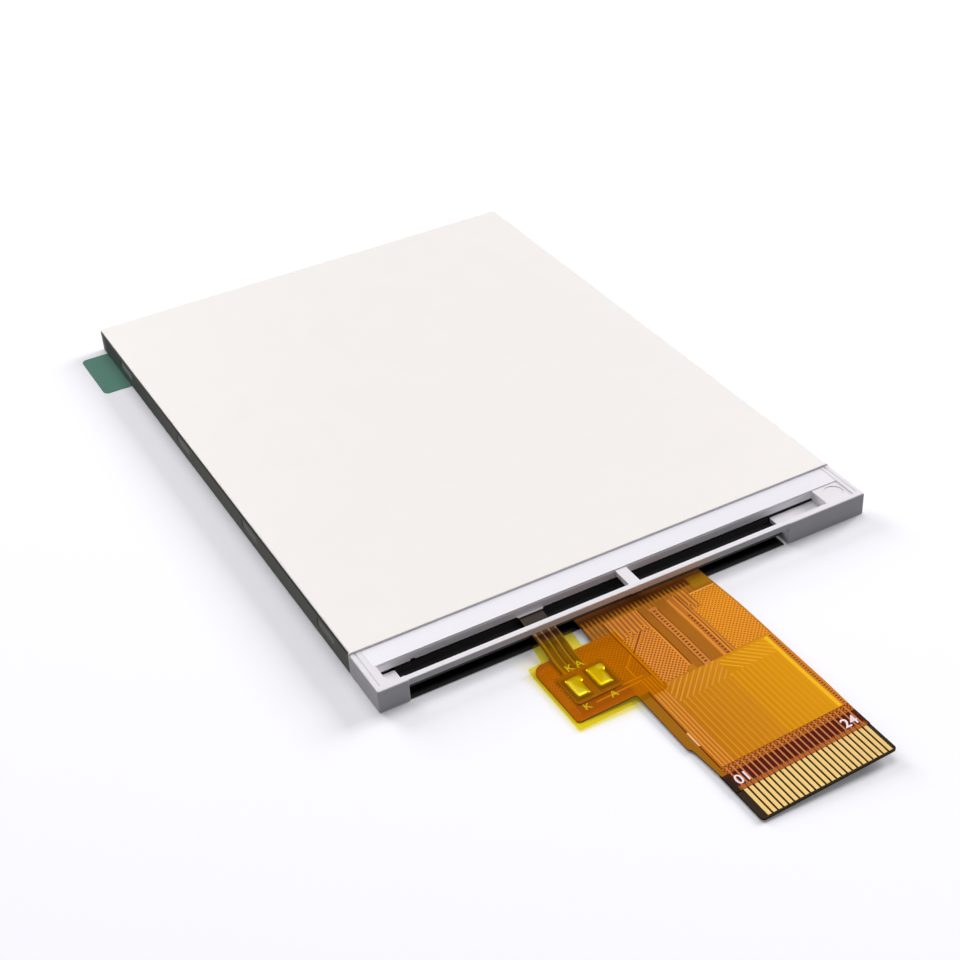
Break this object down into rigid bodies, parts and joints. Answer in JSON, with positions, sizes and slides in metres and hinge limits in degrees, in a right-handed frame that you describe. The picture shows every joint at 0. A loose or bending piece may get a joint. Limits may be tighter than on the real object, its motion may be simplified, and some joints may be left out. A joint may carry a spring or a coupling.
{
  "type": "tft display module",
  "caption": "Thin rectangular display module lying on its face, with a folded metal back, a moulded frame and a flat amber flexible circuit that ends in bare contacts.",
  "frame": {"origin": "centre of the module's front face, on its protective film, which is the side it lies on", "axes": "+X across the module, +Y along it away from the contact tail, +Z from the front face to the metal back"},
  "size_m": [0.053, 0.0953, 0.0025],
  "materials": {
    "cover_metal": "matte, with no visible grain",
    "white_moulding": "satin moulded",
    "white_film": "smooth white film",
    "clear_plate": "clear, polished",
    "lead_film": "smooth amber film",
    "lamp_body": "moulded",
    "milky_sheet": "frosted",
    "clear_sheet": "finely ribbed film",
    "black_tape": "matte",
    "polariser": "smooth film",
    "panel_glass": "polished",
    "seal_resin": "cured resin",
    "clear_film": "smooth film",
    "green_tab": "satin film",
    "silicon": "polished die",
    "amber_film": "smooth amber film",
    "copper": "rolled foil",
    "gilt_contacts": "gold plated",
    "stiffener_film": "smooth film",
    "solder": "bright solder",
    "yellow_tape": "smooth clear film"
  },
  "bodies": {
    "root": {"back_cover": "cover_metal", "mould_frame": "white_moulding", "reflector_film": "white_film", "light_guide": "clear_plate", "led_flex": "lead_film", "backlight_leds": "lamp_body", "diffuser_sheet": "milky_sheet", "upper_prism_sheet": "clear_sheet", "lower_prism_sheet": "clear_sheet", "rim_tape": "black_tape", "rear_polariser": "polariser", "array_glass": "panel_glass", "cell_seal": "seal_resin", "filter_glass": "panel_glass", "front_polariser": "polariser", "protective_film": "clear_film", "pull_tab": "green_tab", "driver_chip": "silicon", "root_tape": "black_tape", "front_tape": "black_tape", "flex_base": "amber_film", "flex_copper": "copper", "contact_fingers": "gilt_contacts", "flex_coverlay": "amber_film", "flex_stiffener": "stiffener_film", "solder_joints": "solder", "clear_tape": "yellow_tape"}
  },
  "joints": []
}
